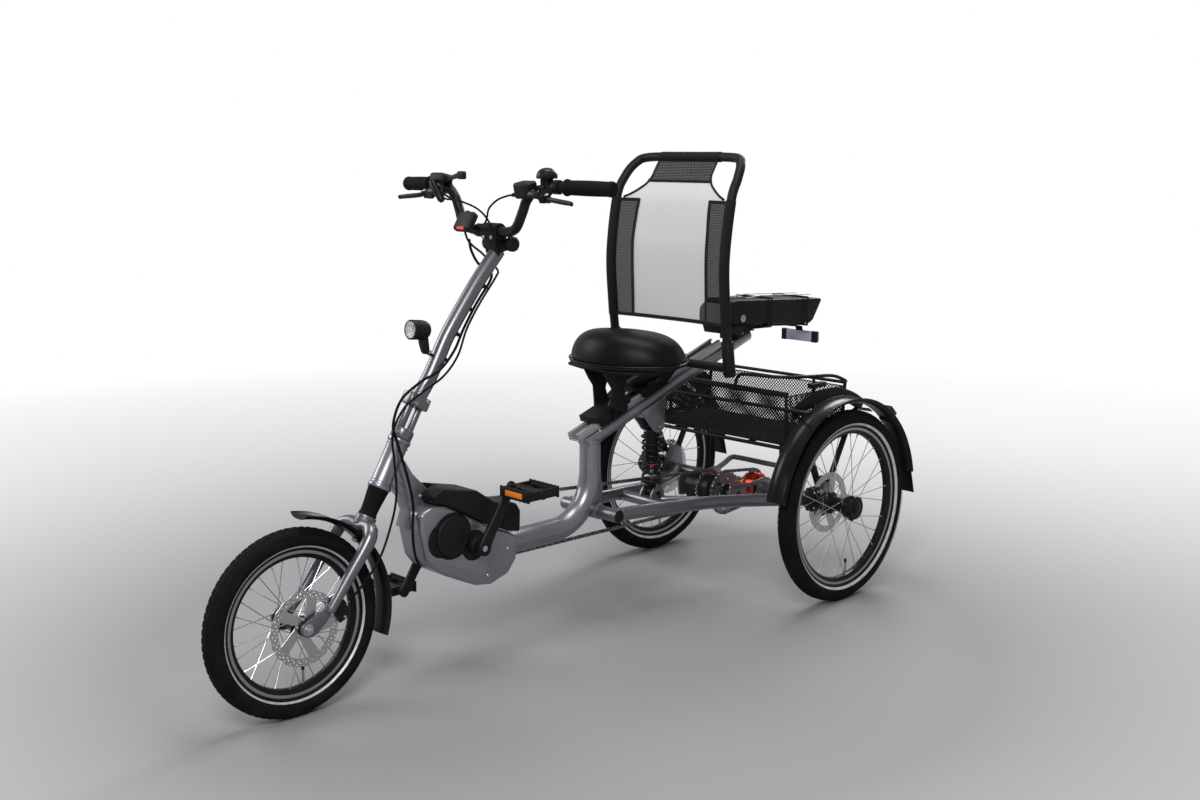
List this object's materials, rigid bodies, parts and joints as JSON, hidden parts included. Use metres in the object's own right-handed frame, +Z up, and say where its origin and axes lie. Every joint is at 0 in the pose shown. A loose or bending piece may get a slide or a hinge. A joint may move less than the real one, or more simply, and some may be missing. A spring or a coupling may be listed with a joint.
{
  "type": "electric tricycle",
  "caption": "Electric tricycle with a sprung rear axle, saddle and mesh backrest on a sloping rail, luggage basket and a pack on a rear rack.",
  "frame": {"origin": "centre of the footprint, on the ground", "axes": "+Z up, -Y ahead, +X to the rider's left"},
  "size_m": [0.76, 1.9176, 1.1495],
  "materials": {
    "grey_paint": "satin",
    "dark_grey_paint": "satin",
    "black_steel": "satin",
    "black_alloy": "satin",
    "black_plastic": "matte",
    "grey_plastic": "matte",
    "lamp_plastic": "gloss",
    "raw_aluminium": "satin",
    "wheel_alloy": "satin",
    "steel": "brushed",
    "red_anodised": "satin",
    "tyre_rubber": "matte",
    "rubber": "matte",
    "seat_cover": "satin",
    "seat_mesh": "matte"
  },
  "bodies": {
    "frame": {"main_frame": "grey_paint", "motor_body": "black_plastic", "motor_cover": "black_plastic", "seat_rail": "raw_aluminium", "battery_rack": "black_steel", "rear_light": "lamp_plastic"},
    "battery": {"battery_pack": "black_plastic"},
    "steering": {"stem": "dark_grey_paint", "handlebar": "black_alloy", "grip_left": "rubber", "grip_right": "rubber", "brake_perch_left": "black_alloy", "brake_perch_right": "black_alloy", "shifter": "black_plastic", "bell": "black_plastic", "control_pad": "black_plastic", "display": "black_plastic", "headlight": "black_plastic", "front_brake_hose": "rubber", "drive_lead": "rubber"},
    "brake_lever_left": {"brake_lever_left": "black_alloy"},
    "brake_lever_right": {"brake_lever_right": "black_alloy"},
    "shift_lever": {"shift_lever": "black_plastic"},
    "bell_lever": {"bell_lever": "black_plastic"},
    "control_button": {"control_button": "grey_plastic"},
    "fork": {"fork": "dark_grey_paint", "fork_boot": "rubber", "front_fender": "black_plastic", "front_caliper": "black_alloy"},
    "front_wheel": {"front_tyre": "tyre_rubber", "front_rim": "wheel_alloy"},
    "crankset": {"crankset": "black_alloy"},
    "pedal_left": {"pedal_left": "black_plastic"},
    "pedal_right": {"pedal_right": "black_plastic"},
    "swingarm": {"swingarm": "dark_grey_paint", "rear_caliper_left": "black_alloy", "rear_caliper_right": "black_alloy", "rear_fender_left": "black_plastic", "rear_fender_right": "black_plastic", "basket_frame": "black_steel", "basket_mesh": "black_steel", "main_chain": "steel", "axle_chain": "steel"},
    "jackshaft": {"gear_hub": "black_alloy"},
    "differential": {"differential": "red_anodised"},
    "rear_wheel_left": {"rear_tyre_left": "tyre_rubber", "rear_rim_left": "wheel_alloy"},
    "rear_wheel_right": {"rear_tyre_right": "tyre_rubber", "rear_rim_right": "wheel_alloy"},
    "shock_upper": {"shock_body": "black_alloy", "shock_spring": "black_steel"},
    "shock_lower": {"shock_shaft": "steel"},
    "seat": {"saddle_cushion": "seat_cover", "seat_bracket": "black_alloy"},
    "seat_lever": {"seat_lever": "raw_aluminium"},
    "backrest": {"backrest_hoop": "black_alloy", "backrest_mesh": "seat_mesh", "backrest_bracket": "black_alloy"},
    "backrest_lever": {"backrest_lever": "raw_aluminium"}
  },
  "joints": [
    {"name": "steering_turn", "type": "hinge", "parent": "frame", "child": "steering", "pos_m": [0, -0.51442, 0.49468], "axis": [0, 0.5075, 0.8616], "range_deg": [-38, 38], "deforming": ["drive_lead", "front_brake_hose"]},
    {"name": "fork_travel", "type": "slide", "parent": "steering", "child": "fork", "axis": [0, 0.5075, 0.8616], "range_m": [0, 0.03], "stiffness_N_per_m": 6000, "springref_m": -0.035, "deforming": ["fork_boot"]},
    {"name": "front_wheel_spin", "type": "hinge", "parent": "fork", "child": "front_wheel", "pos_m": [0, -0.766, 0.2], "axis": [1, 0, 0], "continuous": true},
    {"name": "suspension", "type": "hinge", "parent": "frame", "child": "swingarm", "pos_m": [0, 0.085, 0.283], "axis": [1, 0, 0], "range_deg": [-1, 4], "stiffness_Nm_per_rad": 3400, "springref_deg": -1.26, "deforming": ["main_chain", "shock_spring"]},
    {"name": "shock_swing", "type": "hinge", "parent": "frame", "child": "shock_upper", "pos_m": [0, 0.3, 0.465], "axis": [1, 0, 0], "range_deg": [-3, 3]},
    {"name": "shock_foot_swing", "type": "hinge", "parent": "swingarm", "child": "shock_lower", "pos_m": [0, 0.3, 0.29], "axis": [1, 0, 0], "range_deg": [-6, 6]},
    {"name": "rear_wheel_left_spin", "type": "hinge", "parent": "swingarm", "child": "rear_wheel_left", "pos_m": [0.334, 0.665, 0.25], "axis": [1, 0, 0], "continuous": true},
    {"name": "rear_wheel_right_spin", "type": "hinge", "parent": "swingarm", "child": "rear_wheel_right", "pos_m": [-0.334, 0.665, 0.25], "axis": [1, 0, 0], "continuous": true},
    {"name": "crank_turn", "type": "hinge", "parent": "frame", "child": "crankset", "pos_m": [0, -0.335, 0.29], "axis": [1, 0, 0], "continuous": true},
    {"name": "jackshaft_turn", "type": "hinge", "parent": "swingarm", "child": "jackshaft", "pos_m": [0, 0.555, 0.25], "axis": [1, 0, 0], "continuous": true},
    {"name": "differential_turn", "type": "hinge", "parent": "swingarm", "child": "differential", "pos_m": [0, 0.665, 0.25], "axis": [1, 0, 0], "continuous": true},
    {"name": "pedal_left_turn", "type": "hinge", "parent": "crankset", "child": "pedal_left", "pos_m": [0.155, -0.25232, 0.41635], "axis": [1, 0, 0], "continuous": true},
    {"name": "pedal_right_turn", "type": "hinge", "parent": "crankset", "child": "pedal_right", "pos_m": [-0.155, -0.41768, 0.16365], "axis": [1, 0, 0], "continuous": true},
    {"name": "brake_lever_left_pull", "type": "hinge", "parent": "steering", "child": "brake_lever_left", "pos_m": [0.212, -0.242, 1.056], "axis": [0, -0.5143, 0.8576], "range_deg": [0, 16], "stiffness_Nm_per_rad": 1.2, "springref_deg": -6.88},
    {"name": "brake_lever_right_pull", "type": "hinge", "parent": "steering", "child": "brake_lever_right", "pos_m": [-0.212, -0.242, 1.056], "axis": [0, 0.5143, -0.8576], "range_deg": [0, 16], "stiffness_Nm_per_rad": 1.2, "springref_deg": -6.88},
    {"name": "shift_lever_push", "type": "hinge", "parent": "steering", "child": "shift_lever", "pos_m": [-0.132, -0.24, 1.091], "axis": [0, 0, -1], "range_deg": [0, 12], "stiffness_Nm_per_rad": 0.4, "springref_deg": -4.58},
    {"name": "bell_lever_flick", "type": "hinge", "parent": "steering", "child": "bell_lever", "pos_m": [0.179, -0.216, 1.098], "axis": [0, 0, 1], "range_deg": [0, 20], "stiffness_Nm_per_rad": 0.12, "springref_deg": -5.73},
    {"name": "control_button_press", "type": "slide", "parent": "steering", "child": "control_button", "axis": [0, -0.9781, -0.2079], "range_m": [0, 0.0012], "stiffness_N_per_m": 600, "springref_m": -0.0005},
    {"name": "seat_slide", "type": "slide", "parent": "frame", "child": "seat", "axis": [0, 0.9439, 0.3304], "range_m": [-0.05, 0.012]},
    {"name": "seat_lever_turn", "type": "hinge", "parent": "seat", "child": "seat_lever", "pos_m": [0.0358, 0.148, 0.531], "axis": [1, 0, 0], "range_deg": [0, 80]},
    {"name": "backrest_slide", "type": "slide", "parent": "frame", "child": "backrest", "axis": [0, 0.9439, 0.3304], "range_m": [0, 0.08]},
    {"name": "backrest_lever_turn", "type": "hinge", "parent": "backrest", "child": "backrest_lever", "pos_m": [0.032, 0.285, 0.585], "axis": [1, 0, 0], "range_deg": [0, 80]},
    {"name": "battery_slide", "type": "slide", "parent": "frame", "child": "battery", "axis": [0, 0.9976, -0.0693], "range_m": [0, 0.12]}
  ],
  "couplings": [
    {"joint": "jackshaft_turn", "follows": "crank_turn", "ratio": 1.5833},
    {"joint": "differential_turn", "follows": "crank_turn", "ratio": 2.0152},
    {"joint": "shock_swing", "follows": "suspension", "ratio": -0.07},
    {"joint": "shock_foot_swing", "follows": "suspension", "ratio": -1.07}
  ]
}
